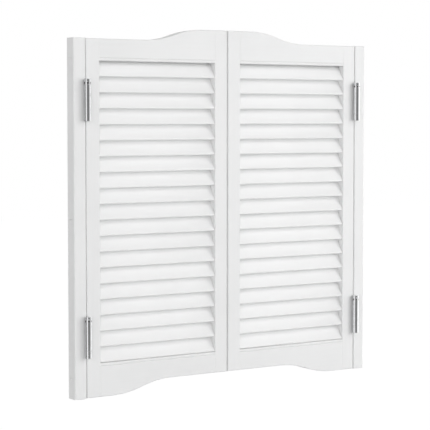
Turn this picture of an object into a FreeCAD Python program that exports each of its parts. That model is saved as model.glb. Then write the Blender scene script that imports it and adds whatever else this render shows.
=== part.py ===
"""A pair of louvred cafe swing doors on two jamb strips, hung with double-action spring hinges.

Millimetres, +Z up. X runs across the doorway, Y through it with the front at -Y. The origin is
midway between the jamb strips, at the height of their lower ends. Each hinge has one barrel in
front of the doors and one behind: a door opens forwards about the front axis and backwards about
the rear one. The right-hand hinges are the left-hand ones turned half a turn about Z.
"""

import FreeCAD
import Part
import math
import os

# ---- the set ------------------------------------------------------------------------------
SET_WIDTH = 914.0            # outer face to outer face of the jamb strips
MEETING_GAP = 3.8            # between the doors, enough for both to swing at once
HINGE_GAP = 2.6              # between a jamb strip and its door

# ---- jamb strips --------------------------------------------------------------------------
JAMB_WIDTH = 33.0
JAMB_DEPTH = 34.0
JAMB_HEIGHT = 890.0
JAMB_OUTER_ROUND = 3.0       # long edges on the wall side
JAMB_INNER_ROUND = 2.0       # long edges beside the door
FIXING_COUNT = 3             # wall screw holes in each strip
FIXING_SPACING = 395.0
FIXING_RADIUS = 2.1
FIXING_SINK_RADIUS = 4.2

# ---- doors --------------------------------------------------------------------------------
DOOR_THICKNESS = 32.0
DOOR_END_CLEARANCE = 1.0     # jamb strip past the hinge side of the door, at each end
STILE_WIDTH = 38.0
STILE_ROUND = 2.0            # long outer edges of a stile
ARRIS = 1.2                  # chamfer on every other edge of the frame
RAIL_NARROW = 54.5           # height of a rail at its low end
RAIL_RISE = 30.0             # of its S-curve
CURVE_LENGTH = 178.0
CURVE_END_FLAT = 33.8        # level part between the S-curve and the meeting stile
BEAD_WIDTH = 7.0             # strip along the inner edge of a rail
BEAD_GROOVE = 1.2            # depth and half width of the V-groove beside it
TENON_LENGTH = 22.0
TENON_THICKNESS = 10.0
TENON_SHOULDER = 8.0         # above and below the tenon
TENON_CLEARANCE = 0.1
TENON_END_CLEARANCE = 0.5

# ---- louvre slats -------------------------------------------------------------------------
SLAT_COUNT = 19
SLAT_WIDTH = 49.5
SLAT_THICKNESS = 6.0
SLAT_EASE = 1.6              # chamfer along the long edges
SLAT_SLOPE = 59.0            # degrees; the lower edge is at the front
HOUSING_DEPTH = 8.0          # how far a slat enters each stile
HOUSING_CLEARANCE = 0.2
SLAT_END_GAP = 0.3           # lowest slat to the bottom rail
REBATE_CLEARANCE = 1.0       # highest slat to the bottom of the rebate in the top rail

# ---- hinges -------------------------------------------------------------------------------
HINGE_END_DISTANCE = 102.0   # end of the jamb strip to the end of the nearest hinge leaf
LEAF_HEIGHT = 101.6
LEAF_THICKNESS = 2.0
LEAF_CLEARANCE = 0.3         # between a leaf and the centre flange
LEAF_SETBACK = 3.0           # far edge of a leaf to the far face of the wood
LEAF_SEAT_CLEARANCE = 0.2    # round the edge of a leaf in its mortise
BARREL_RADIUS = 8.5
BARREL_CLEARANCE = 0.5       # barrel to wood, and barrel to the plates beside it
KNUCKLE_HEIGHT = 19.0
BARREL_JOINT = 0.3           # between knuckle and tube
CAP_HEIGHT = 14.5
CAP_STAND = 2.2              # top of the cap above the end of the leaf
SPIGOT_LENGTH = 9.0          # of the cap, inside the head of the tube
PIVOT_LENGTH = 25.0          # of the pin on the knuckle, inside the foot of the tube
RUNNING_CLEARANCE = 0.05
SPRING_RADIUS = 6.0
SPRING_END_CLEARANCE = 0.3
TOMMY_HOLES = 6              # round the cap, for the tensioning bar
TOMMY_RADIUS = 1.3
TOMMY_DEPTH = 3.0
TOMMY_HEIGHT = 3.6           # above the lower edge of the cap
LOCK_PIN_ANGLE = 70.0        # degrees round the barrel from +X, beside the flange
LOCK_PIN_PROJECTION = 1.2
LOCK_PIN_CLEARANCE = 0.1

# ---- leaf screws --------------------------------------------------------------------------
SCREW_COUNT = 3              # in each leaf
SCREW_END_DISTANCE = 14.8    # end of the leaf to its first screw
SCREW_STAGGER = 6.0          # to either side of the middle of the leaf
SCREW_HEAD_RADIUS = 3.9
SCREW_NECK_RADIUS = 1.9
SCREW_POINT_RADIUS = 0.5
SCREW_LENGTH = 18.0
SCREW_CLEARANCE = 0.05

# ---- small round pieces are drawn with flat sides, to keep the faces few ------------------
TOMMY_SIDES = 4
SCREW_SIDES = 6
SPRING_SIDES = 12
SPIGOT_SIDES = 12
CAP_SIDES = 24
SINK_SIDES = 12

# ---- worked out from the values above -----------------------------------------------------
HALF_TURN = 180.0
OVERCUT = 1.0                # cutters stand this far past the faces that they cut

door_width = (SET_WIDTH - MEETING_GAP) / 2 - JAMB_WIDTH - HINGE_GAP
opening_width = door_width - 2 * STILE_WIDTH
rail_wide = RAIL_NARROW + RAIL_RISE
opening_bottom = DOOR_END_CLEARANCE + rail_wide
opening_top = JAMB_HEIGHT - DOOR_END_CLEARANCE - RAIL_NARROW
opening_height = opening_top - opening_bottom
curve_start = opening_width - CURVE_END_FLAT - CURVE_LENGTH
door_middle_height = (opening_bottom + opening_top) / 2

jamb_face_x = -SET_WIDTH / 2 + JAMB_WIDTH
gap_x = jamb_face_x + HINGE_GAP / 2
hinge_edge_x = jamb_face_x + HINGE_GAP
meeting_edge_x = hinge_edge_x + door_width
opening_x = hinge_edge_x + STILE_WIDTH

slope = math.radians(SLAT_SLOPE)
slat_edge = SLAT_THICKNESS / 2 - SLAT_EASE
slat_rise = SLAT_WIDTH * math.sin(slope) + 2 * slat_edge * math.cos(slope)
slat_pitch = opening_height / SLAT_COUNT
lowest_slat = opening_bottom + SLAT_END_GAP + slat_rise / 2
rebate_height = slat_rise - slat_pitch + SLAT_END_GAP + REBATE_CLEARANCE

half_depth = max(JAMB_DEPTH, DOOR_THICKNESS) / 2
axis_y = half_depth + BARREL_CLEARANCE + BARREL_RADIUS
axis_x = (LEAF_THICKNESS + LEAF_CLEARANCE) / 2
plate_near_y = -axis_y + BARREL_RADIUS + BARREL_CLEARANCE
leaf_inner_x = -(LEAF_THICKNESS / 2 + LEAF_CLEARANCE)
leaf_outer_x = leaf_inner_x - LEAF_THICKNESS
barrel_bore = BARREL_RADIUS - LEAF_THICKNESS
spigot_radius = barrel_bore - RUNNING_CLEARANCE
tube_bottom = KNUCKLE_HEIGHT + BARREL_JOINT
tube_top = LEAF_HEIGHT + CAP_STAND - CAP_HEIGHT
hinge_heights = {
    "lower": HINGE_END_DISTANCE,
    "upper": JAMB_HEIGHT - HINGE_END_DISTANCE - LEAF_HEIGHT,
}

Z_AXIS = FreeCAD.Vector(0, 0, 1)
ORIGIN = FreeCAD.Vector(0, 0, 0)


# ---- small helpers ------------------------------------------------------------------------
def box(x0, x1, y0, y1, z0, z1):
    """A box between two corners."""
    return Part.makeBox(x1 - x0, y1 - y0, z1 - z0, FreeCAD.Vector(x0, y0, z0))


def disc(radius, z0, z1):
    """An upright cylinder about the Z axis."""
    return Part.makeCylinder(radius, z1 - z0, FreeCAD.Vector(0, 0, z0))


def ring_points(sides, radius, x):
    """The corners of a regular polygon in the plane at x."""
    turns = [2 * math.pi * (k + 0.5) / sides for k in range(sides)]
    return [FreeCAD.Vector(x, radius * math.cos(t), radius * math.sin(t)) for t in turns]


def polygon_face(points):
    """The flat face with these corners."""
    return Part.Face(Part.makePolygon(points + [points[0]]))


def faceted(rings):
    """A closed solid with flat sides through rings of corners, each ring with as many."""
    faces = [polygon_face(rings[0]), polygon_face(rings[-1])]
    for low, high in zip(rings, rings[1:]):
        for k in range(len(low)):
            faces.append(polygon_face([low[k - 1], low[k], high[k], high[k - 1]]))
    return Part.Solid(Part.Shell(faces))


def prism(points, direction):
    """The closed polygon through points, pushed along direction."""
    return polygon_face(points).extrude(direction)


def upright_ring(sides, radius, z):
    """The corners of a regular polygon about the Z axis at height z."""
    flat = ring_points(sides, radius, 0)
    return [FreeCAD.Vector(p.y, p.z, z) for p in flat]


def half_turned(shape):
    """A copy turned half a turn about the Z axis."""
    copy = shape.copy()
    copy.rotate(ORIGIN, Z_AXIS, HALF_TURN)
    return copy


def mirrored(shape):
    """A copy mirrored from the left of the doorway to the right."""
    return shape.mirror(ORIGIN, FreeCAD.Vector(1, 0, 0))


def moved(shape, x, y, z):
    """A copy shifted by x, y, z."""
    copy = shape.copy()
    copy.translate(FreeCAD.Vector(x, y, z))
    return copy


def long_edges(shape, x, y):
    """The upright edges of shape at x, y."""
    tolerance = ARRIS / 10
    found = []
    for edge in shape.Edges:
        box_ = edge.BoundBox
        upright = box_.XLength < tolerance and box_.YLength < tolerance
        if upright and abs(box_.XMin - x) < tolerance and abs(box_.YMin - y) < tolerance:
            found.append(edge)
    return found


# ---- hinge pieces, in the left-hand hinge's own frame: mid-gap, mid-depth, foot of the leaf ----
def screw_places(depth):
    """Where the leaf screws stand, as (y, z), on a leaf let into wood of the given depth."""
    middle_y = (plate_near_y + depth / 2 - LEAF_SETBACK) / 2
    places = []
    spacing = (LEAF_HEIGHT - 2 * SCREW_END_DISTANCE) / (SCREW_COUNT - 1)
    for k in range(SCREW_COUNT):
        z = SCREW_END_DISTANCE + k * spacing
        side = -1 if k % 2 else 1
        places.append((middle_y + side * SCREW_STAGGER, z))
    return places


def screw(extra):
    """A countersunk wood screw along -X from the face of the leaf, swollen by extra."""
    return faceted([
        ring_points(SCREW_SIDES, SCREW_HEAD_RADIUS + extra, 0),
        ring_points(SCREW_SIDES, SCREW_NECK_RADIUS + extra, -LEAF_THICKNESS),
        ring_points(SCREW_SIDES, SCREW_POINT_RADIUS + extra, -SCREW_LENGTH - extra),
    ])


def leaf_screws(depth, extra=0.0):
    """The screws of the jamb leaf."""
    return [moved(screw(extra), leaf_inner_x, y, z) for y, z in screw_places(depth)]


def jamb_leaf(depth):
    """A flat leaf rolled into the knuckle of the front barrel, its pivot pin riveted in."""
    far_y = depth / 2 - LEAF_SETBACK
    plate = box(leaf_outer_x, leaf_inner_x, plate_near_y, far_y, 0, LEAF_HEIGHT)
    neck = box(leaf_outer_x, leaf_inner_x, -axis_y, plate_near_y, 0, KNUCKLE_HEIGHT)
    knuckle = disc(BARREL_RADIUS, 0, KNUCKLE_HEIGHT)
    pin = disc(spigot_radius, 0, tube_bottom + PIVOT_LENGTH)
    leaf = plate.fuse(neck).fuse(on_front_barrel(knuckle.fuse(pin)))
    for hole in leaf_screws(depth, SCREW_CLEARANCE):
        leaf = leaf.cut(hole)
    return leaf.removeSplitter()


def leaf_mortise(depth):
    """The shallow recess for the jamb leaf and its screws, cut from the wood."""
    recess = box(
        leaf_outer_x,
        0,
        -half_depth - OVERCUT,
        depth / 2 - LEAF_SETBACK + LEAF_SEAT_CLEARANCE,
        -LEAF_SEAT_CLEARANCE,
        LEAF_HEIGHT + LEAF_SEAT_CLEARANCE,
    )
    for hole in leaf_screws(depth, SCREW_CLEARANCE):
        recess = recess.fuse(hole)
    return recess


def centre_flange():
    """The plate between the leaves, rolled at each side into the long tube of a barrel."""
    half = LEAF_THICKNESS / 2
    plate = box(-half, half, plate_near_y, -plate_near_y, 0, LEAF_HEIGHT)
    flange = plate.fuse(box(-half, half, -axis_y, axis_y, tube_bottom, tube_top))
    tube = disc(BARREL_RADIUS, tube_bottom, tube_top)
    bore = disc(barrel_bore, tube_bottom - OVERCUT, tube_top + OVERCUT)
    for side in (-1, 1):
        flange = flange.fuse(moved(tube, side * axis_x, side * axis_y, 0))
    for side in (-1, 1):
        flange = flange.cut(moved(bore, side * axis_x, side * axis_y, 0))
    return flange.removeSplitter()


def upright_bar(sides, radius, low, high):
    """A bar with flat sides about the Z axis."""
    return prism(upright_ring(sides, radius, low), FreeCAD.Vector(0, 0, high - low))


def torsion_spring():
    """The close-wound coil between pin and cap, as the round bar that its turns fill."""
    low = tube_bottom + PIVOT_LENGTH + SPRING_END_CLEARANCE
    high = tube_top - SPIGOT_LENGTH - SPRING_END_CLEARANCE
    return upright_bar(SPRING_SIDES, SPRING_RADIUS, low, high)


def tommy_hole():
    """One radial hole for the tensioning bar, along +X from the middle of the cap."""
    points = ring_points(TOMMY_SIDES, TOMMY_RADIUS, BARREL_RADIUS - TOMMY_DEPTH)
    return prism(points, FreeCAD.Vector(TOMMY_DEPTH + OVERCUT, 0, 0))


def turned(shape, angle):
    """A copy turned about Z to angle and lifted to the ring of holes in the cap."""
    copy = shape.copy()
    copy.rotate(ORIGIN, Z_AXIS, angle)
    copy.translate(FreeCAD.Vector(0, 0, tube_top + TOMMY_HEIGHT))
    return copy


def tension_cap():
    """The cap that winds the spring: a spigot in the head of the tube and a ring of holes."""
    body = upright_bar(CAP_SIDES, BARREL_RADIUS, tube_top, tube_top + CAP_HEIGHT)
    low = tube_top - SPIGOT_LENGTH
    body = body.fuse(upright_bar(SPIGOT_SIDES, spigot_radius, low, tube_top))
    for k in range(TOMMY_HOLES):
        angle = LOCK_PIN_ANGLE + k * 2 * HALF_TURN / TOMMY_HOLES
        body = body.cut(turned(tommy_hole(), angle))
    return body


def lock_pin():
    """The pin left in one hole of the cap: it rests on the flange and stops the unwinding."""
    points = ring_points(TOMMY_SIDES, TOMMY_RADIUS - LOCK_PIN_CLEARANCE, 0)
    length = TOMMY_DEPTH + LOCK_PIN_PROJECTION
    pin = prism(points, FreeCAD.Vector(length, 0, 0))
    return turned(moved(pin, BARREL_RADIUS - TOMMY_DEPTH, 0, 0), LOCK_PIN_ANGLE)


def on_front_barrel(shape):
    """A copy of a barrel piece moved from the Z axis to the front barrel."""
    return moved(shape, -axis_x, -axis_y, 0)


def hinge_pieces():
    """Every piece of one left-hand hinge. The door's side is the jamb's side half turned."""
    pieces = {"centre_flange": [centre_flange()]}
    for side, depth in (("jamb", JAMB_DEPTH), ("door", DOOR_THICKNESS)):
        group = {
            side + "_leaf": [jamb_leaf(depth)],
            side + "_leaf_screws": leaf_screws(depth),
            side + "_leaf_mortise": [leaf_mortise(depth)],
            side + "_spring": [on_front_barrel(torsion_spring())],
            side + "_tension_cap": [on_front_barrel(tension_cap())],
            side + "_lock_pin": [on_front_barrel(lock_pin())],
        }
        if side == "door":
            group = {name: [half_turned(s) for s in found] for name, found in group.items()}
        pieces.update(group)
    return pieces


def hinge(side, height, pieces):
    """The pieces of one hinge in the doorway, at the given height on the given side."""
    placed = {}
    for name, shapes in pieces.items():
        here = [moved(s, gap_x, 0, height) for s in shapes]
        placed[name] = here if side == "left" else [half_turned(s) for s in here]
    return placed


# ---- jamb strips --------------------------------------------------------------------------
def jamb_strip():
    """The left-hand strip, before the hinges are let in."""
    wall_x = -SET_WIDTH / 2
    half = JAMB_DEPTH / 2
    strip = box(wall_x, jamb_face_x, -half, half, 0, JAMB_HEIGHT)
    for x, radius in ((wall_x, JAMB_OUTER_ROUND), (jamb_face_x, JAMB_INNER_ROUND)):
        for y in (-half, half):
            strip = strip.makeFillet(radius, long_edges(strip, x, y))
    inwards = FreeCAD.Vector(-1, 0, 0)
    throat = FIXING_RADIUS / math.cos(math.pi / SINK_SIDES)
    sink = faceted([
        ring_points(SINK_SIDES, throat, throat - FIXING_SINK_RADIUS),
        ring_points(SINK_SIDES, FIXING_SINK_RADIUS, 0),
    ])
    for k in range(FIXING_COUNT):
        z = JAMB_HEIGHT / 2 + (k - (FIXING_COUNT - 1) / 2) * FIXING_SPACING
        mouth = FreeCAD.Vector(jamb_face_x, 0, z)
        hole = Part.makeCylinder(FIXING_RADIUS, JAMB_WIDTH + OVERCUT, mouth, inwards)
        strip = strip.cut(moved(sink, jamb_face_x, 0, z)).cut(hole)
    return strip


# ---- doors, drawn on the left -------------------------------------------------------------
def rail_shape():
    """One rail, low end at x = 0, inner edge at z = 0, with its tenons."""
    half = DOOR_THICKNESS / 2
    radius = (CURVE_LENGTH ** 2 + RAIL_RISE ** 2) / (4 * RAIL_RISE)
    sweep = math.asin(CURVE_LENGTH / (2 * radius)) / 2
    reach = radius * math.sin(sweep)
    lift = radius * (1 - math.cos(sweep))
    start = FreeCAD.Vector(curve_start, -half, RAIL_NARROW)
    first = start + FreeCAD.Vector(reach, 0, lift)
    middle = start + FreeCAD.Vector(CURVE_LENGTH / 2, 0, RAIL_RISE / 2)
    end = start + FreeCAD.Vector(CURVE_LENGTH, 0, RAIL_RISE)
    second = end - FreeCAD.Vector(reach, 0, lift)
    corners = [
        FreeCAD.Vector(0, -half, RAIL_NARROW),
        FreeCAD.Vector(0, -half, 0),
        FreeCAD.Vector(opening_width, -half, 0),
        FreeCAD.Vector(opening_width, -half, rail_wide),
    ]
    edges = [Part.makeLine(start, corners[0])]
    edges += [Part.makeLine(a, b) for a, b in zip(corners, corners[1:])]
    edges.append(Part.makeLine(corners[-1], end))
    edges.append(Part.Arc(end, second, middle).toShape())
    edges.append(Part.Arc(middle, first, start).toShape())
    face = Part.Face(Part.Wire(Part.__sortEdges__(edges)))
    rail = face.extrude(FreeCAD.Vector(0, DOOR_THICKNESS, 0))
    return ease_outline(rail, lambda edge: edge.BoundBox.ZMin > RAIL_NARROW - ARRIS)


def ease_outline(shape, chosen):
    """Chamfers the chosen edges among those in the front and rear faces of the frame."""
    half = DOOR_THICKNESS / 2
    edges = []
    for edge in shape.Edges:
        place = edge.BoundBox
        flat = place.YLength < ARRIS / 10
        on_face = abs(abs(place.YMin) - half) < ARRIS / 10
        along = place.XLength > ARRIS / 10
        if flat and on_face and along and chosen(edge):
            edges.append(edge)
    return shape.makeChamfer(ARRIS, edges)


def rail():
    """A finished rail: eased inner edge, bead, rebate for the end slat, tenons."""
    half = DOOR_THICKNESS / 2
    shape = rail_shape()
    rebate = box(-OVERCUT, opening_width + OVERCUT, 0, half + OVERCUT, -OVERCUT, rebate_height)
    shape = shape.cut(rebate)
    shape = ease_outline(shape, lambda edge: edge.BoundBox.ZMax < rebate_height + ARRIS)
    for side in (-1, 1):
        y = side * half
        groove = [
            FreeCAD.Vector(0, y - side * BEAD_GROOVE, BEAD_WIDTH),
            FreeCAD.Vector(0, y, BEAD_WIDTH - BEAD_GROOVE),
            FreeCAD.Vector(0, y + side * BEAD_GROOVE, BEAD_WIDTH),
            FreeCAD.Vector(0, y, BEAD_WIDTH + BEAD_GROOVE),
        ]
        shape = shape.cut(prism(groove, FreeCAD.Vector(opening_width, 0, 0)))
    for tenon in rail_tenons(0.0, 0.0):
        shape = shape.fuse(tenon)
    return shape.removeSplitter()


def rail_tenons(around, past_end):
    """The two tenons of a rail, or their mortises with clearance around and past the end."""
    half = TENON_THICKNESS / 2 + around
    length = TENON_LENGTH + past_end
    low = TENON_SHOULDER - around
    narrow_top = RAIL_NARROW - TENON_SHOULDER + around
    wide_top = rail_wide - TENON_SHOULDER + around
    return [
        box(-length, 0, -half, half, low, narrow_top),
        box(opening_width, opening_width + length, -half, half, low, wide_top),
    ]


def as_top_rail(shape):
    """A copy of a rail piece where the top rail goes."""
    return moved(shape, opening_x, 0, opening_top)


def as_bottom_rail(shape):
    """A copy of a rail piece turned end for end about the middle of the door."""
    copy = as_top_rail(shape)
    middle = FreeCAD.Vector(opening_x + opening_width / 2, 0, door_middle_height)
    copy.rotate(middle, FreeCAD.Vector(0, 1, 0), HALF_TURN)
    return copy


def slat_outline(clearance, x):
    """The corners of a slat's section, lying along Y in the plane at x, or of its housing."""
    tip = SLAT_WIDTH / 2 + clearance
    half = SLAT_THICKNESS / 2 + clearance
    side = tip - SLAT_EASE
    edge = half - SLAT_EASE
    outline = [(side, half), (tip, edge), (tip, -edge), (side, -half)]
    outline += [(-y, -z) for y, z in outline]
    return [FreeCAD.Vector(x, y, z) for y, z in outline]


def sloped(shape, k):
    """A copy of a slat-shaped piece tilted to the slope and lifted to place k in the door."""
    copy = shape.copy()
    copy.rotate(ORIGIN, FreeCAD.Vector(1, 0, 0), SLAT_SLOPE)
    copy.translate(FreeCAD.Vector(0, 0, lowest_slat + k * slat_pitch))
    return copy


def slat_bars(clearance, depth):
    """A bar at the place of each slat of a door, reaching the given depth into both stiles."""
    points = slat_outline(clearance, opening_x - depth)
    bar = prism(points, FreeCAD.Vector(opening_width + 2 * depth, 0, 0))
    return [sloped(bar, k) for k in range(SLAT_COUNT)]


def opening_easing(x, direction):
    """What the chamfers along the opening take from a stile whose inner face is at x."""
    half = DOOR_THICKNESS / 2
    cutters = []
    for side in (-1, 1):
        y = side * half
        corners = [(x + direction * ARRIS, y), (x, y), (x, y - side * ARRIS)]
        points = [FreeCAD.Vector(px, py, opening_bottom) for px, py in corners]
        cutters.append(prism(points, FreeCAD.Vector(0, 0, opening_height)))
    return cutters


def end_easing(x, z, direction):
    """What the chamfers across the end of a stile at height z take from it."""
    half = DOOR_THICKNESS / 2
    cutters = []
    for side in (-1, 1):
        y = side * half
        corners = [(y - side * ARRIS, z), (y, z), (y, z + direction * ARRIS)]
        points = [FreeCAD.Vector(x, py, pz) for py, pz in corners]
        cutters.append(prism(points, FreeCAD.Vector(STILE_WIDTH, 0, 0)))
    return cutters


def stile(outer_x, inner_x, bottom, top):
    """A stile between its outer and inner faces, before the hinges are let in."""
    half = DOOR_THICKNESS / 2
    shape = box(min(outer_x, inner_x), max(outer_x, inner_x), -half, half, bottom, top)
    for y in (-half, half):
        shape = shape.makeFillet(STILE_ROUND, long_edges(shape, outer_x, y))
    cutters = opening_easing(inner_x, 1 if outer_x > inner_x else -1)
    cutters += end_easing(min(outer_x, inner_x), bottom, 1)
    cutters += end_easing(min(outer_x, inner_x), top, -1)
    cutters += slat_bars(HOUSING_CLEARANCE, HOUSING_DEPTH + HOUSING_CLEARANCE)
    for tenon in rail_tenons(TENON_CLEARANCE, TENON_END_CLEARANCE):
        cutters += [as_top_rail(tenon), as_bottom_rail(tenon)]
    return shape.cut(cutters)


def door_pieces():
    """Every wooden piece of the left-hand door."""
    hinge_top = JAMB_HEIGHT - DOOR_END_CLEARANCE
    meeting_bottom = opening_bottom - RAIL_NARROW
    meeting_top = opening_top + rail_wide
    return {
        "hinge_stile": [stile(hinge_edge_x, opening_x, DOOR_END_CLEARANCE, hinge_top)],
        "meeting_stile": [
            stile(meeting_edge_x, opening_x + opening_width, meeting_bottom, meeting_top)
        ],
        "top_rail": [as_top_rail(rail())],
        "bottom_rail": [as_bottom_rail(rail())],
        "louvre_slats": slat_bars(0.0, HOUSING_DEPTH),
    }


# ---- the whole set ------------------------------------------------------------------------
def build_set():
    """Every node of the set, as a list of solids by name."""
    nodes = {}
    pieces = hinge_pieces()
    wood = door_pieces()
    strip = jamb_strip()
    for side in ("left", "right"):
        turn = half_turned if side == "right" else (lambda shape: shape)
        nodes[side + "_jamb_strip"] = [turn(strip)]
        for name, shapes in wood.items():
            here = shapes if side == "left" else [mirrored(s) for s in shapes]
            nodes[side + "_" + name] = here
        for level, height in hinge_heights.items():
            placed = hinge(side, height, pieces)
            recesses = {
                side + "_jamb_strip": placed.pop("jamb_leaf_mortise"),
                side + "_hinge_stile": placed.pop("door_leaf_mortise"),
            }
            for name, cutters in recesses.items():
                nodes[name] = [nodes[name][0].cut(cutters)]
            for name, shapes in placed.items():
                shared = name.endswith("_screws") or name.endswith("_lock_pin")
                key = side + "_" + name if shared else side + "_" + level + "_" + name
                nodes.setdefault(key, []).extend(shapes)
    return nodes


def solids_of(shapes):
    """The separate solids in a list of shapes."""
    return [solid for shape in shapes for solid in shape.Solids]


os.makedirs("parts", exist_ok=True)
for node, shapes in build_set().items():
    solids = solids_of(shapes)
    whole = solids[0] if len(solids) == 1 else Part.makeCompound(solids)
    whole.exportStep("parts/" + node + ".step")
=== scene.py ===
import math

import bmesh
import bpy
from mathutils import Matrix, Vector


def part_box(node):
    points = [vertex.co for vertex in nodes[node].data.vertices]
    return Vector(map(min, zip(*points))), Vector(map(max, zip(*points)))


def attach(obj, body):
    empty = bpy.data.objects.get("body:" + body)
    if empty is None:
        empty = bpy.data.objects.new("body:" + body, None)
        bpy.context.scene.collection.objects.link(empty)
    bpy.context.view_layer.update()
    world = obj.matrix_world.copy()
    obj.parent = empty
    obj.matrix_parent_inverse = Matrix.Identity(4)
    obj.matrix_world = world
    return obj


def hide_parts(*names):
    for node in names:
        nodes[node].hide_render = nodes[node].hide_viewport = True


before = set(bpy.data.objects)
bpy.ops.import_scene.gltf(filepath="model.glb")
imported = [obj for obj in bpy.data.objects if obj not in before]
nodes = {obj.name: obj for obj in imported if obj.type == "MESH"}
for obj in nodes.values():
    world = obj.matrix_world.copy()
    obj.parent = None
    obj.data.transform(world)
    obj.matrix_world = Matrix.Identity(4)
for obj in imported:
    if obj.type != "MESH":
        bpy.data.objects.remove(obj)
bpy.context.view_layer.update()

MM = 0.001


# ---- painted woodwork -----------------------------------------------------------------------
# Planed softwood under sprayed white satin lacquer: jamb strips, stiles, rails and slats. The
# paint follows the grain very faintly. The arrises carry a painted highlight, the beads of the
# rails and the corners of the slats painted shade, and the gaps and corners of the uprights
# painted light. The slats are painted lighter than the frame, for the light on their faces.
def new_group(name, inputs, outputs):
    """An empty shader group with its sockets, and its input and output nodes."""
    group = bpy.data.node_groups.new(name, "ShaderNodeTree")
    for socket, kind, value in inputs:
        made = group.interface.new_socket(socket, in_out="INPUT", socket_type=kind)
        made.default_value = value
    for socket, kind in outputs:
        group.interface.new_socket(socket, in_out="OUTPUT", socket_type=kind)
    return group, group.nodes.new("NodeGroupInput"), group.nodes.new("NodeGroupOutput")


def node(tree, kind, links=(), **values):
    """A new node of the tree with its settings, plain socket values and incoming links."""
    made = tree.nodes.new(kind)
    for key, value in values.items():
        if hasattr(made, key):
            setattr(made, key, value)
        else:
            made.inputs[key.replace("_", " ")].default_value = value
    for socket, source in links:
        tree.links.new(source, made.inputs[socket])
    return made


def maths(tree, operation, a, b):
    """A Math node of two inputs, each a socket or a number."""
    made = tree.nodes.new("ShaderNodeMath")
    made.operation = operation
    for place, value in enumerate((a, b)):
        if isinstance(value, (int, float)):
            made.inputs[place].default_value = value
        else:
            tree.links.new(value, made.inputs[place])
    return made.outputs[0]


def spread(tree, value, low, high, to_low, to_high):
    """A value between low and high carried over to another range, smoothly and clamped."""
    made = node(tree, "ShaderNodeMapRange", [("Value", value)], interpolation_type="SMOOTHSTEP")
    for socket, number in zip(made.inputs[1:5], (low, high, to_low, to_high)):
        socket.default_value = number
    return made.outputs["Result"]


EDGE_SAMPLES = 6
ARRIS_TURN = (0.80, 0.985)     # cosine of rounded to flat normal: full arris, none
CORNER_VIEW = (0.25, 0.85)     # open share of what a point sees: full corner, none
edge_group, taken, given = new_group(
    "arris_and_corner",
    [("Arris width", "NodeSocketFloat", 1.2 * MM), ("Corner reach", "NodeSocketFloat", 3 * MM)],
    [
        ("Arris", "NodeSocketFloat"), ("Corner", "NodeSocketFloat"),
        ("Rounded", "NodeSocketVector"),
    ],
)
rounded = node(
    edge_group, "ShaderNodeBevel", [("Radius", taken.outputs["Arris width"])],
    samples=EDGE_SAMPLES,
)
flat = node(edge_group, "ShaderNodeNewGeometry")
turn = node(
    edge_group, "ShaderNodeVectorMath",
    [(0, rounded.outputs["Normal"]), (1, flat.outputs["Normal"])], operation="DOT_PRODUCT",
)
shelter = node(
    edge_group, "ShaderNodeAmbientOcclusion", [("Distance", taken.outputs["Corner reach"])],
    samples=EDGE_SAMPLES,
)
arris = spread(edge_group, turn.outputs["Value"], *ARRIS_TURN, 1.0, 0.0)
corner = spread(edge_group, shelter.outputs["AO"], *CORNER_VIEW, 1.0, 0.0)
edge_group.links.new(arris, given.inputs["Arris"])
edge_group.links.new(corner, given.inputs["Corner"])
edge_group.links.new(rounded.outputs["Normal"], given.inputs["Rounded"])

PORES_IN_RELIEF = 0.35
PEEL_IN_RELIEF = 0.5
CLOUD_IN_TONE = 0.7
GRAIN_IN_TONE = 0.3
CLOUD_IN_GLOSS = 0.6
PEEL_IN_GLOSS = 0.4
paint_group, taken, given = new_group(
    "lacquer_on_planed_wood",
    [("Across", "NodeSocketVector", (1, 1, 1)), ("Grain", "NodeSocketFloat", 1.0)],
    [("Tone", "NodeSocketFloat"), ("Gloss", "NodeSocketFloat"), ("Height", "NodeSocketFloat")],
)
place = node(paint_group, "ShaderNodeTexCoord")
along = node(
    paint_group, "ShaderNodeVectorMath",
    [(0, place.outputs["Object"]), (1, taken.outputs["Across"])], operation="MULTIPLY",
)
rings = node(
    paint_group, "ShaderNodeTexNoise", [("Vector", along.outputs[0])],
    Scale=190.0, Detail=3.0, Roughness=0.6,
)
pores = node(
    paint_group, "ShaderNodeTexNoise", [("Vector", along.outputs[0])],
    Scale=900.0, Detail=2.0, Roughness=0.5,
)
peel = node(
    paint_group, "ShaderNodeTexNoise", [("Vector", place.outputs["Object"])],
    Scale=520.0, Detail=2.0, Roughness=0.45,
)
cloud = node(
    paint_group, "ShaderNodeTexNoise", [("Vector", place.outputs["Object"])],
    Scale=7.0, Detail=3.0, Roughness=0.55,
)
ridges = maths(paint_group, "MULTIPLY", rings.outputs["Fac"], taken.outputs["Grain"])
relief = maths(
    paint_group, "ADD", ridges,
    maths(paint_group, "MULTIPLY", pores.outputs["Fac"], PORES_IN_RELIEF),
)
relief = maths(
    paint_group, "ADD", relief,
    maths(paint_group, "MULTIPLY", peel.outputs["Fac"], PEEL_IN_RELIEF),
)
tone = maths(
    paint_group, "ADD", maths(paint_group, "MULTIPLY", cloud.outputs["Fac"], CLOUD_IN_TONE),
    maths(paint_group, "MULTIPLY", ridges, GRAIN_IN_TONE),
)
gloss = maths(
    paint_group, "ADD", maths(paint_group, "MULTIPLY", cloud.outputs["Fac"], CLOUD_IN_GLOSS),
    maths(paint_group, "MULTIPLY", peel.outputs["Fac"], PEEL_IN_GLOSS),
)
paint_group.links.new(relief, given.inputs["Height"])
paint_group.links.new(tone, given.inputs["Tone"])
paint_group.links.new(gloss, given.inputs["Gloss"])


def placed_group(tree, group, **values):
    """The group as a node in a material, with its own values."""
    made = tree.nodes.new("ShaderNodeGroup")
    made.node_tree = group
    for key, value in values.items():
        made.inputs[key.replace("_", " ")].default_value = value
    return made


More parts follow.
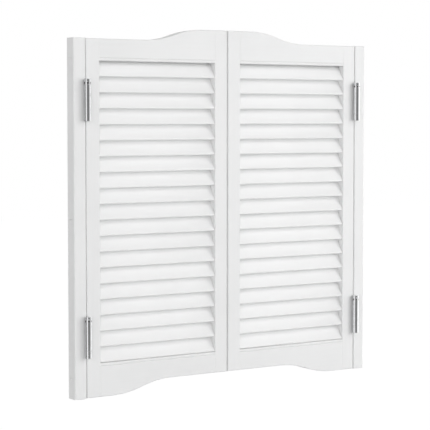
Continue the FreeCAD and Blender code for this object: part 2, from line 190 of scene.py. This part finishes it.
def blend(tree, factor, a, b):
    """A colour mix between a and b, each a socket or a plain colour."""
    made = tree.nodes.new("ShaderNodeMix")
    made.data_type = "RGBA"
    tree.links.new(factor, made.inputs["Factor"])
    for name, value in (("A", a), ("B", b)):
        socket = [s for s in made.inputs if s.name == name and s.type == "RGBA"][0]
        if isinstance(value, tuple):
            socket.default_value = (*value, 1.0)
        else:
            tree.links.new(value, socket)
    return [s for s in made.outputs if s.type == "RGBA"][0]


def new_material(name):
    """A material with a Principled shader, its tree and that shader."""
    made = bpy.data.materials.new(name)
    made.use_nodes = True
    return made, made.node_tree, made.node_tree.nodes["Principled BSDF"]


def add_relief(tree, shader, film, edge, strength, distance):
    """Puts the film's fine relief on the shader, over the rounded arrises."""
    bump = node(
        tree, "ShaderNodeBump",
        [("Height", film.outputs["Height"]), ("Normal", edge.outputs["Rounded"])],
        Strength=strength, Distance=distance,
    )
    tree.links.new(bump.outputs["Normal"], shader.inputs["Normal"])


FRAME_LIGHT = (0.800, 0.802, 0.802)
FRAME_DULL = (0.776, 0.778, 0.778)
# Painted light: the slats take a lighter copy of the frame's tones, for the light on their
# up-turned faces.
SLAT_PAINTED_LIT_LIGHT = (0.834, 0.836, 0.836)
SLAT_PAINTED_LIT_DULL = (0.814, 0.816, 0.816)
# Painted highlight: the arrises get a lighter colour, as if they caught the light.
PAINT_ARRIS_HIGHLIGHT = (0.850, 0.850, 0.848)
# Painted shade: darker colours for the corners of the rails' beads and of the slats.
BEAD_PAINTED_SHADE = (0.700, 0.700, 0.696)
SLAT_PAINTED_SHADE = (0.812, 0.812, 0.810)
# Painted light: a whiter colour for the gaps and corners of the uprights, where shade falls.
GAP_PAINTED_LIGHT = (0.930, 0.930, 0.930)
PAINT_TONES = (0.30, 0.62)     # tone of the film: dull, light
PAINT_GLOSS = (0.3, 0.7)       # gloss of the film: smoothest, roughest
PAINT_ROUGHNESS = (0.34, 0.50)
PAINT_SPECULAR = 0.42
ARRIS_HIGHLIGHT_SHARE = 0.6               # how far an arris goes to the painted highlight


def painted_wood(name, light, dull, painted_corner_tone, reach, across, grain, arris):
    """White satin lacquer over wood whose grain runs where across is small."""
    made, tree, shader = new_material(name)
    film = placed_group(tree, paint_group, Across=across, Grain=grain)
    edge = placed_group(tree, edge_group, Arris_width=arris, Corner_reach=reach)
    shade = spread(tree, film.outputs["Tone"], *PAINT_TONES, 0.0, 1.0)
    # Painted highlight on the arrises.
    arris_highlight = maths(tree, "MULTIPLY", edge.outputs["Arris"], ARRIS_HIGHLIGHT_SHARE)
    colour = blend(tree, shade, dull, light)
    colour = blend(tree, arris_highlight, colour, PAINT_ARRIS_HIGHLIGHT)
    # Corners take a painted tone: painted light on the uprights, painted shade on rails and slats.
    colour = blend(tree, edge.outputs["Corner"], colour, painted_corner_tone)
    tree.links.new(colour, shader.inputs["Base Color"])
    rough = spread(tree, film.outputs["Gloss"], *PAINT_GLOSS, *PAINT_ROUGHNESS)
    tree.links.new(rough, shader.inputs["Roughness"])
    add_relief(tree, shader, film, edge, strength=0.35, distance=0.05 * MM)
    shader.inputs["Specular IOR Level"].default_value = PAINT_SPECULAR
    return made


UPRIGHT = (1.0, 1.0, 0.035)
LEVEL = (0.035, 1.0, 1.0)
paint_upright = painted_wood(
    "white_lacquer_upright", FRAME_LIGHT, FRAME_DULL, painted_corner_tone=GAP_PAINTED_LIGHT, reach=6 * MM,
    across=UPRIGHT, grain=1.0, arris=2.2 * MM,
)
paint_level = painted_wood(
    "white_lacquer_level", FRAME_LIGHT, FRAME_DULL, painted_corner_tone=BEAD_PAINTED_SHADE, reach=3 * MM,
    across=LEVEL, grain=1.0, arris=1.2 * MM,
)
paint_slat = painted_wood(
    "white_lacquer_slat", SLAT_PAINTED_LIT_LIGHT, SLAT_PAINTED_LIT_DULL, painted_corner_tone=SLAT_PAINTED_SHADE, reach=3 * MM,
    across=LEVEL, grain=0.7, arris=1.2 * MM,
)


def dress(name, material):
    """Gives a CAD node its material."""
    piece = nodes[name]
    piece.data.materials.clear()
    piece.data.materials.append(material)
    piece.data.polygons.foreach_set("material_index", [0] * len(piece.data.polygons))
    return piece


# ---- jamb strips ----------------------------------------------------------------------------
# Two slim strips of painted softwood that screw to the sides of the doorway and carry the
# hinges. Their long edges are rounded over. Three countersunk holes take the wall screws.
for side in ("left", "right"):
    dress(side + "_jamb_strip", paint_upright)

# ---- stiles and rails -----------------------------------------------------------------------
# Each door is framed by two stiles and two S-curved rails of painted softwood, joined with
# glued mortises and tenons. A bead runs along the inner edge of each rail, and all arrises are
# eased before painting.
for side in ("left", "right"):
    for name in ("hinge_stile", "meeting_stile"):
        dress(side + "_" + name, paint_upright)
    for name in ("top_rail", "bottom_rail"):
        dress(side + "_" + name, paint_level)

# ---- louvre slats ---------------------------------------------------------------------------
# Nineteen fixed slats in each door, thin softwood boards with rounded long edges, housed and
# glued into both stiles with their lower edges to the front.
SEAM = 0.002 * MM              # points nearer than this are one
SLAT_FLATNESS = 0.5            # degrees within which faces are one
SLAT_ROUND = 0.9 * MM
SLAT_ROUND_STEPS = 3
SLAT_ROUND_FROM = 25.0         # degrees of turn from which an edge is rounded
for side in ("left", "right"):
    board = dress(side + "_louvre_slats", paint_slat)
    board.data.polygons.foreach_set("use_smooth", [True] * len(board.data.polygons))
    weld = board.modifiers.new("one_skin", "WELD")
    weld.merge_threshold = SEAM
    whole = board.modifiers.new("whole_faces", "DECIMATE")
    whole.decimate_type = "DISSOLVE"
    whole.angle_limit = math.radians(SLAT_FLATNESS)
    ease = board.modifiers.new("rounded_edges", "BEVEL")
    ease.width = SLAT_ROUND
    ease.segments = SLAT_ROUND_STEPS
    ease.limit_method = "ANGLE"
    ease.angle_limit = math.radians(SLAT_ROUND_FROM)
    ease.harden_normals = True

# ---- hinge plates and barrels ---------------------------------------------------------------
# Double-action spring hinges of rolled steel, chrome plated and polished: two leaves with
# knuckles, and a centre flange with a long tube at each side. The plating shows faint
# polishing lines, finger smudges and slight wear on the edges, and carries painted shade near
# the wood.
LINES_IN_HAZE = 0.35
plate_group, taken, given = new_group(
    "polished_plating",
    [("Lines", "NodeSocketVector", (1, 1, 0.03)), ("Smudge", "NodeSocketFloat", 0.9)],
    [("Haze", "NodeSocketFloat"), ("Tone", "NodeSocketFloat"), ("Height", "NodeSocketFloat")],
)
place = node(plate_group, "ShaderNodeTexCoord")
along = node(
    plate_group, "ShaderNodeVectorMath",
    [(0, place.outputs["Object"]), (1, taken.outputs["Lines"])], operation="MULTIPLY",
)
lines = node(
    plate_group, "ShaderNodeTexNoise", [("Vector", along.outputs[0])],
    Scale=2600.0, Detail=2.0, Roughness=0.6,
)
smudges = node(
    plate_group, "ShaderNodeTexNoise", [("Vector", place.outputs["Object"])],
    Scale=110.0, Detail=4.0, Roughness=0.62,
)
touch = maths(plate_group, "MULTIPLY", smudges.outputs["Fac"], taken.outputs["Smudge"])
haze = maths(
    plate_group, "ADD", maths(plate_group, "MULTIPLY", lines.outputs["Fac"], LINES_IN_HAZE), touch
)
plate_group.links.new(haze, given.inputs["Haze"])
plate_group.links.new(touch, given.inputs["Tone"])
plate_group.links.new(lines.outputs["Fac"], given.inputs["Height"])

PLATE_ARRIS = 0.5 * MM
PLATE_TONES = (0.30, 0.75)     # tone of the film: bright, dull
PLATE_HAZE = (0.35, 1.05)      # haze of the film: smoothest, roughest
PLATE_WEAR = 0.5               # how far an arris goes to the worn colour
# Painted shade: corners go to a darker colour, which on the chrome stands for the shaded wood it
# mirrors.
PLATE_CORNER_SHADE = 0.8              # how far a corner goes to the painted shade


def plated(name, bright, dull, worn, painted_shade, reach, roughness, lines):
    """A metal between two tones, polished in lines, worn on arrises, painted shade in corners."""
    made, tree, shader = new_material(name)
    film = placed_group(tree, plate_group, Lines=lines)
    edge = placed_group(tree, edge_group, Arris_width=PLATE_ARRIS, Corner_reach=reach)
    shade = spread(tree, film.outputs["Tone"], *PLATE_TONES, 0.0, 1.0)
    wear = maths(tree, "MULTIPLY", edge.outputs["Arris"], PLATE_WEAR)
    corner_shade = maths(tree, "MULTIPLY", edge.outputs["Corner"], PLATE_CORNER_SHADE)
    colour = blend(tree, shade, bright, dull)
    colour = blend(tree, wear, colour, worn)
    colour = blend(tree, corner_shade, colour, painted_shade)
    tree.links.new(colour, shader.inputs["Base Color"])
    rough = spread(tree, film.outputs["Haze"], *PLATE_HAZE, *roughness)
    tree.links.new(rough, shader.inputs["Roughness"])
    add_relief(tree, shader, film, edge, strength=0.12, distance=0.01 * MM)
    shader.inputs["Metallic"].default_value = 1.0
    return made


chrome = plated(
    "chrome_plate", bright=(0.68, 0.685, 0.695), dull=(0.60, 0.605, 0.615),
    worn=(0.72, 0.72, 0.72), painted_shade=(0.24, 0.245, 0.255), reach=14 * MM,
    roughness=(0.05, 0.14), lines=(1, 1, 0.03),
)
for side in ("left", "right"):
    for level in ("lower", "upper"):
        for name in ("centre_flange", "jamb_leaf", "door_leaf"):
            dress(side + "_" + level + "_" + name, chrome)


# ---- tension caps ---------------------------------------------------------------------------
# Turned steel caps, chrome plated, in the head of each tube. A ring of six drilled holes takes
# the bar that winds the spring; the top is eased. The spigot goes down into the tube.
def turned_skin(name, outline, sides):
    """A closed skin turned about Z from (radius, height) points; the ends are on the axis."""
    form = bmesh.new()
    rings = []
    for radius, height in outline:
        if radius == 0:
            rings.append([form.verts.new((0, 0, height))])
            continue
        angles = [2 * math.pi * k / sides for k in range(sides)]
        rings.append(
            [form.verts.new((radius * math.cos(a), radius * math.sin(a), height)) for a in angles]
        )
    for low, high in zip(rings, rings[1:]):
        for k in range(sides):
            corners = [low[k % len(low)], low[(k + 1) % len(low)]]
            corners += [high[(k + 1) % len(high)], high[k % len(high)]]
            form.faces.new(list(dict.fromkeys(corners)))
    bmesh.ops.recalc_face_normals(form, faces=form.faces)
    skin = bpy.data.meshes.new(name)
    form.to_mesh(skin)
    form.free()
    return skin


def carved(skin, cutters):
    """The skin with the cutter skins, each at its own place, cut away."""
    block = bpy.data.objects.new("block", skin)
    bpy.context.scene.collection.objects.link(block)
    spare = [block]
    for cutter, place in cutters:
        tool = bpy.data.objects.new("tool", cutter)
        tool.matrix_world = place
        bpy.context.scene.collection.objects.link(tool)
        cut = block.modifiers.new("cut", "BOOLEAN")
        cut.operation = "DIFFERENCE"
        cut.solver = "EXACT"
        cut.material_mode = "TRANSFER"
        cut.object = tool
        spare.append(tool)
    bpy.context.view_layer.update()
    ready = block.evaluated_get(bpy.context.evaluated_depsgraph_get())
    made = bpy.data.meshes.new_from_object(ready)
    for thing in spare:
        bpy.data.objects.remove(thing)
    return made


def smooth(skin, crease):
    """Shades the skin smooth, with creases sharper than so many degrees kept."""
    skin.polygons.foreach_set("use_smooth", [True] * len(skin.polygons))
    skin.set_sharp_from_angle(angle=math.radians(crease))


def rotation(degrees, axis):
    """A turn about one axis."""
    return Matrix.Rotation(math.radians(degrees), 4, axis)


def foot_of(name):
    """The middle of a CAD node's lower end."""
    low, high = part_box(name)
    return Vector(((low.x + high.x) / 2, (low.y + high.y) / 2, low.z))


def add_piece(name, skin, place, material, body, stands_for):
    """A new piece of the object at its place, on its body, standing for a CAD node."""
    piece = bpy.data.objects.new(name, skin)
    bpy.context.scene.collection.objects.link(piece)
    piece.matrix_world = place
    if not skin.materials:
        skin.materials.append(material)
    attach(piece, body)
    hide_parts(stands_for)


# Painted shade: the bores of the cap holes are near black and faintly mottled, for the shade deep
# inside them.
BORE_DARK = (0.020, 0.019, 0.018)
BORE_LIGHT = (0.060, 0.057, 0.053)
dark_bore, tree, shader = new_material("bore_painted_shade")
bore_mottle = node(tree, "ShaderNodeTexNoise", Scale=900.0, Detail=2.0)
bore_colour = blend(tree, bore_mottle.outputs["Fac"], BORE_DARK, BORE_LIGHT)
tree.links.new(bore_colour, shader.inputs["Base Color"])
shader.inputs["Roughness"].default_value = 0.55

CAP_SIDES = 64
CAP_RADIUS = 8.5 * MM
CAP_HEIGHT = 14.5 * MM
CAP_ROUND = 1.5 * MM
CAP_ROUND_STEPS = 4
CAP_FOOT_CHAMFER = 0.2 * MM
CAP_CREASE = 35.0              # degrees
SPIGOT_RADIUS = 6.45 * MM
SPIGOT_LENGTH = 9.0 * MM
SPIGOT_CHAMFER = 0.45 * MM
CAP_HOLES = 6
CAP_HOLE_SIDES = 20
CAP_HOLE_RADIUS = 2.1 * MM
CAP_HOLE_DEPTH = 3.0 * MM
CAP_HOLE_RISE = 3.6 * MM
CAP_HOLE_TURN = 10.0           # degrees from the line of the doors to the first hole
HOLE_MOUTH_DEPTH = 0.25 * MM
HOLE_MOUTH_FLARE = 1.4         # radius of the cutter at its end to that of the hole
DRILL_CLEAR = 0.3 * MM         # how far the cutter stands out of the cap
cap_top = SPIGOT_LENGTH + CAP_HEIGHT
cap_outline = [
    (0, 0), (SPIGOT_RADIUS - SPIGOT_CHAMFER, 0), (SPIGOT_RADIUS, SPIGOT_CHAMFER),
    (SPIGOT_RADIUS, SPIGOT_LENGTH), (CAP_RADIUS - CAP_FOOT_CHAMFER, SPIGOT_LENGTH),
    (CAP_RADIUS, SPIGOT_LENGTH + CAP_FOOT_CHAMFER),
]
for k in range(CAP_ROUND_STEPS + 1):
    angle = math.radians(90 * k / CAP_ROUND_STEPS)
    cap_outline.append((
        CAP_RADIUS - CAP_ROUND * (1 - math.cos(angle)), cap_top - CAP_ROUND * (1 - math.sin(angle))
    ))
cap_outline.append((0, cap_top))
cap_skin = turned_skin("tension_cap", cap_outline, CAP_SIDES)
cap_skin.materials.append(chrome)
drill_end = CAP_HOLE_DEPTH + DRILL_CLEAR
drill = turned_skin(
    "cap_drill",
    [
        (0, 0), (CAP_HOLE_RADIUS, 0), (CAP_HOLE_RADIUS, CAP_HOLE_DEPTH - HOLE_MOUTH_DEPTH),
        (HOLE_MOUTH_FLARE * CAP_HOLE_RADIUS, drill_end), (0, drill_end),
    ],
    CAP_HOLE_SIDES,
)
drill.materials.append(dark_bore)


def in_cap_hole(degrees):
    """The bottom of the hole at such a turn about its cap, with Z pointing out of the hole."""
    out = Matrix.Translation((CAP_RADIUS - CAP_HOLE_DEPTH, 0, SPIGOT_LENGTH + CAP_HOLE_RISE))
    return rotation(degrees, "Z") @ out @ rotation(90, "Y")


holes = [in_cap_hole(CAP_HOLE_TURN + 360 * k / CAP_HOLES) for k in range(CAP_HOLES)]
cap_skin = carved(cap_skin, [(drill, hole) for hole in holes])
smooth(cap_skin, CAP_CREASE)
for side in ("left", "right"):
    for level in ("lower", "upper"):
        for leaf in ("jamb", "door"):
            name = side + "_" + level + "_" + leaf + "_tension_cap"
            add_piece(
                name + "_turned", cap_skin, Matrix.Translation(foot_of(name)), chrome,
                side + "_link", name,
            )


# ---- lock pins ------------------------------------------------------------------------------
# A stepped pin of bright zinc-plated steel in one hole of each cap. It rests on the flange and
# keeps the wound spring from running back.
def joined(name, skin, places):
    """One skin with a copy of the given skin at each place."""
    form = bmesh.new()
    for place in places:
        copy = skin.copy()
        copy.transform(place)
        form.from_mesh(copy)
    made = bpy.data.meshes.new(name)
    form.to_mesh(made)
    form.free()
    return made


zinc = plated(
    "zinc_steel", bright=(0.60, 0.605, 0.61), dull=(0.42, 0.425, 0.44), worn=(0.70, 0.70, 0.70),
    painted_shade=(0.42, 0.425, 0.44), reach=3 * MM, roughness=(0.22, 0.42), lines=(1, 1, 1),
)
PIN_SIDES = 20
PIN_CREASE = 50.0              # degrees
PIN_TURN = CAP_HOLE_TURN + 360 / CAP_HOLES
# radius and height above the bottom of the hole, in millimetres: foot, shank, step, point
PIN_OUTLINE = (
    (0, 0), (1.75, 0), (1.9, 0.15), (1.9, 2.6), (1.35, 2.75), (1.35, 3.75), (1.1, 4.1), (0, 4.2),
)
pin_skin = turned_skin("lock_pin", [(r * MM, z * MM) for r, z in PIN_OUTLINE], PIN_SIDES)
smooth(pin_skin, PIN_CREASE)
for side in ("left", "right"):
    for leaf in ("jamb", "door"):
        name = side + "_" + leaf + "_lock_pin"
        turned = PIN_TURN if (side == "left") == (leaf == "jamb") else PIN_TURN + 180
        places = []
        for level in ("lower", "upper"):
            cap = Matrix.Translation(foot_of(side + "_" + level + "_" + leaf + "_tension_cap"))
            places.append(cap @ in_cap_hole(turned))
        add_piece(
            name + "_round", joined(name + "_round", pin_skin, places), Matrix.Identity(4), zinc,
            side + "_link", name,
        )


# ---- leaf screws ----------------------------------------------------------------------------
# Three countersunk cross-head wood screws of the same zinc-plated steel hold each leaf. They
# are driven through the leaf into the strip or the stile, each stopped at its own angle.
def solids_in(name):
    """The lowest and highest corner of each separate solid in a CAD node, from the lowest up."""
    form = bmesh.new()
    form.from_mesh(nodes[name].data)
    bmesh.ops.remove_doubles(form, verts=form.verts, dist=SEAM)
    unseen, found = set(form.verts), []
    while unseen:
        waiting, seen = [unseen.pop()], []
        while waiting:
            vert = waiting.pop()
            seen.append(vert.co.copy())
            for link in vert.link_edges:
                other = link.other_vert(vert)
                if other in unseen:
                    unseen.remove(other)
                    waiting.append(other)
        low = Vector([min(p[axis] for p in seen) for axis in range(3)])
        high = Vector([max(p[axis] for p in seen) for axis in range(3)])
        found.append((low, high))
    form.free()
    return sorted(found, key=lambda pair: pair[0].z)


SCREW_SIDES = 32
SCREW_CREASE = 35.0            # degrees
SCREW_SPIN = 37.0              # degrees from one screw of a leaf to the next
SLOT_LENGTH = 4.4 * MM
SLOT_WIDTH = 0.95 * MM
SLOT_DEPTH = 1.3 * MM
SLOT_FOOT = 0.55               # size of a slot at its bottom to that at the top
# radius and height above the face of the leaf, in millimetres: head, neck, thread, point
SCREW_OUTLINE = (
    (0, 0), (3.55, 0), (3.82, -0.12), (3.84, -0.3), (1.95, -2.0), (1.9, -2.2), (1.9, -6.0),
    (1.7, -6.4), (1.55, -14.0), (0.5, -17.8), (0, -17.9),
)
screw_skin = turned_skin("wood_screw", [(r * MM, z * MM) for r, z in SCREW_OUTLINE], SCREW_SIDES)
blade = bmesh.new()
bmesh.ops.create_cube(blade, size=1.0)
for vert in blade.verts:
    narrow = SLOT_FOOT if vert.co.z < 0 else 1.0
    vert.co.x *= SLOT_LENGTH * narrow
    vert.co.y *= SLOT_WIDTH * narrow
    vert.co.z *= 2 * SLOT_DEPTH
blade_skin = bpy.data.meshes.new("cross_blade")
blade.to_mesh(blade_skin)
blade.free()
screw_skin = carved(screw_skin, [(blade_skin, rotation(degrees, "Z")) for degrees in (0, 90)])
smooth(screw_skin, SCREW_CREASE)
for side in ("left", "right"):
    for leaf in ("jamb", "door"):
        name = side + "_" + leaf + "_leaf_screws"
        body = "jambs" if leaf == "jamb" else side + "_door"
        faces_right = (side == "left") == (leaf == "jamb")
        tip = rotation(90 if faces_right else -90, "Y")
        places = []
        for order, (low, high) in enumerate(solids_in(name)):
            head = high.x if faces_right else low.x
            spot = Matrix.Translation((head, (low.y + high.y) / 2, (low.z + high.z) / 2))
            places.append(spot @ tip @ rotation(SCREW_SPIN * order, "Z"))
        add_piece(
            name + "_cross_head", joined(name + "_cross_head", screw_skin, places),
            Matrix.Identity(4), zinc, body, name,
        )

# ---- springs --------------------------------------------------------------------------------
# A close-wound coil of zinc-plated steel wire fills each tube. Its lower end is caught in the
# tube and its upper end in the spigot of the tension cap.
COIL_RADIUS = 4.85 * MM
COIL_TURNS = 19
COIL_STEPS = 12                # points to one turn
WIRE_RADIUS = 0.85 * MM
WIRE_ROUNDING = 3
END_ROOM = 1.2 * WIRE_RADIUS   # from the end of the spring to the middle of its wire
steps = COIL_TURNS * COIL_STEPS
for side in ("left", "right"):
    for level in ("lower", "upper"):
        for leaf in ("jamb", "door"):
            name = side + "_" + level + "_" + leaf + "_spring"
            low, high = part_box(name)
            foot = foot_of(name)
            rise = high.z - low.z - 2 * END_ROOM
            line = bpy.data.curves.new(name + "_coil", "CURVE")
            line.dimensions = "3D"
            line.bevel_depth = WIRE_RADIUS
            line.bevel_resolution = WIRE_ROUNDING
            line.use_fill_caps = True
            spline = line.splines.new("NURBS")
            spline.points.add(steps)
            for k, point in enumerate(spline.points):
                angle = 2 * math.pi * k / COIL_STEPS
                point.co = (
                    foot.x + COIL_RADIUS * math.cos(angle),
                    foot.y + COIL_RADIUS * math.sin(angle),
                    foot.z + END_ROOM + rise * k / steps, 1.0,
                )
            spline.order_u = 4
            spline.use_endpoint_u = True
            spline.resolution_u = 2
            add_piece(
                name + "_coil", line, Matrix.Identity(4), zinc, side + "_link", name
            )


# ---- studio: floor, light and camera --------------------------------------------------------
# A white floor below the hung doors and even light from white walls all round. A distant lamp
# stands high on the right, a small one close by on the right and a broad one at the front
# left. Dark and light cards are there for the metal to mirror.
def seen_directly(tree):
    """1 for rays from the camera and for mirrored or refracted ones, else 0."""
    path = tree.nodes.new("ShaderNodeLightPath")
    seen = maths(tree, "ADD", path.outputs["Is Camera Ray"], path.outputs["Is Glossy Ray"])
    seen = maths(tree, "ADD", seen, path.outputs["Is Transmission Ray"])
    return maths(tree, "MINIMUM", seen, 1.0)


def either(tree, factor, first, second, output):
    """Sends a mix of two shaders to the output node."""
    choice = node(
        tree, "ShaderNodeMixShader", [(0, factor), (1, first.outputs[0]), (2, second.outputs[0])]
    )
    tree.links.new(choice.outputs[0], output.inputs["Surface"])


WHITE = (1.0, 1.0, 1.0, 1.0)
WALL_LIGHT = 1.50
WALL_FOOT = (-0.35, 0.05)      # upward part of a direction: where the walls begin, are full
WALL_TOP = (0.35, 0.75)        # and where they fade, end
world = bpy.data.worlds.new("even_light")
bpy.context.scene.world = world
world.use_nodes = True
tree = world.node_tree
for old in list(tree.nodes):
    tree.nodes.remove(old)
place = tree.nodes.new("ShaderNodeTexCoord")
towards = node(tree, "ShaderNodeSeparateXYZ", [(0, place.outputs["Generated"])])
above_foot = spread(tree, towards.outputs["Z"], *WALL_FOOT, 0.0, WALL_LIGHT)
below_top = spread(tree, towards.outputs["Z"], *WALL_TOP, 1.0, 0.0)
walls = maths(tree, "MULTIPLY", above_foot, below_top)
fill = node(tree, "ShaderNodeBackground", [("Strength", walls)], Color=WHITE)
sight = node(tree, "ShaderNodeBackground", Color=WHITE, Strength=1.0)
either(tree, seen_directly(tree), fill, sight, node(tree, "ShaderNodeOutputWorld"))

FLOOR_Z = -0.42
FLOOR_SIZE = 24.0
FLOOR_BOUNCE = (0.70, 0.70, 0.70)
FLOOR_SEEN = (1.0, 1.0, 1.0)
FLOOR_GLOW = 1.08
FLOOR_GLOW_SHARE = 0.88        # the rest of the seen floor is lit, and holds the shadow
bpy.ops.mesh.primitive_plane_add(size=FLOOR_SIZE, location=(0, 0, FLOOR_Z))
floor = bpy.context.active_object
floor.name = "studio_floor"
floor_paint, tree, shader = new_material("studio_floor")
seen = seen_directly(tree)
tree.links.new(blend(tree, seen, FLOOR_BOUNCE, FLOOR_SEEN), shader.inputs["Base Color"])
shader.inputs["Roughness"].default_value = 1.0
shader.inputs["Specular IOR Level"].default_value = 0.0
glow = node(tree, "ShaderNodeEmission", Color=WHITE, Strength=FLOOR_GLOW)
part_seen = maths(tree, "MULTIPLY", seen, FLOOR_GLOW_SHARE)
either(tree, part_seen, shader, glow, tree.nodes["Material Output"])
floor.data.materials.append(floor_paint)

DOORS_MIDDLE = (0, 0, 0.45)


def lamp(name, place, size, power, mirrored):
    """A square soft lamp turned towards the doors, which metal mirrors or doesn't."""
    light = bpy.data.lights.new(name, "AREA")
    light.shape = "SQUARE"
    light.size = size
    light.energy = power
    made = bpy.data.objects.new(name, light)
    made.location = place
    aim = Vector(DOORS_MIDDLE) - Vector(place)
    made.rotation_euler = aim.to_track_quat("-Z", "Y").to_euler()
    made.visible_glossy = mirrored
    bpy.context.scene.collection.objects.link(made)


lamp("key_lamp", (4.13, -5.08, 5.05), size=2.8, power=84.0, mirrored=True)
lamp("side_lamp", (1.6, -1.9, 0.7), size=0.9, power=8.1, mirrored=False)
lamp("fill_lamp", (-3.15, -4.51, 0.45), size=2.6, power=45.0, mirrored=False)

CARD_FOOT = -0.70
CARD_HEAD = 2.20


def card(name, start, end, strength):
    """An upright card between two points of the floor plan, seen by metal and gloss alone."""
    corners = [(*start, CARD_FOOT), (*end, CARD_FOOT), (*end, CARD_HEAD), (*start, CARD_HEAD)]
    skin = bpy.data.meshes.new(name)
    skin.from_pydata(corners, [], [(0, 1, 2, 3)])
    made = bpy.data.objects.new(name, skin)
    bpy.context.scene.collection.objects.link(made)
    cloth, tree, _ = new_material(name)
    light = node(tree, "ShaderNodeEmission", Color=WHITE, Strength=strength)
    tree.links.new(light.outputs[0], tree.nodes["Material Output"].inputs["Surface"])
    skin.materials.append(cloth)
    made.visible_camera = False
    made.visible_diffuse = False
    made.visible_shadow = False


card("dark_card_front", (-3.0, -2.9), (2.7, -3.1), 0.27)
card("dark_card_left", (-3.0, -0.2), (-1.2, 2.5), 0.08)
card("light_card_left", (-3.1, -2.8), (-3.0, -0.2), 1.25)
card("light_card_right", (3.2, -0.9), (2.8, 0.6), 2.6)

CAMERA_DIP = 3.518             # degrees below level
CAMERA_TURN = 34.238           # degrees to the right of straight on
camera_data = bpy.data.cameras.new("camera")
camera_data.sensor_width = 36.0
camera_data.lens = 134.84
camera = bpy.data.objects.new("camera", camera_data)
camera.location = (-2.3839, -3.4603, 0.6989)
camera.rotation_euler = (math.radians(90 - CAMERA_DIP), 0, math.radians(-CAMERA_TURN))
bpy.context.scene.collection.objects.link(camera)
bpy.context.scene.camera = camera
bpy.context.scene.view_settings.view_transform = "Standard"
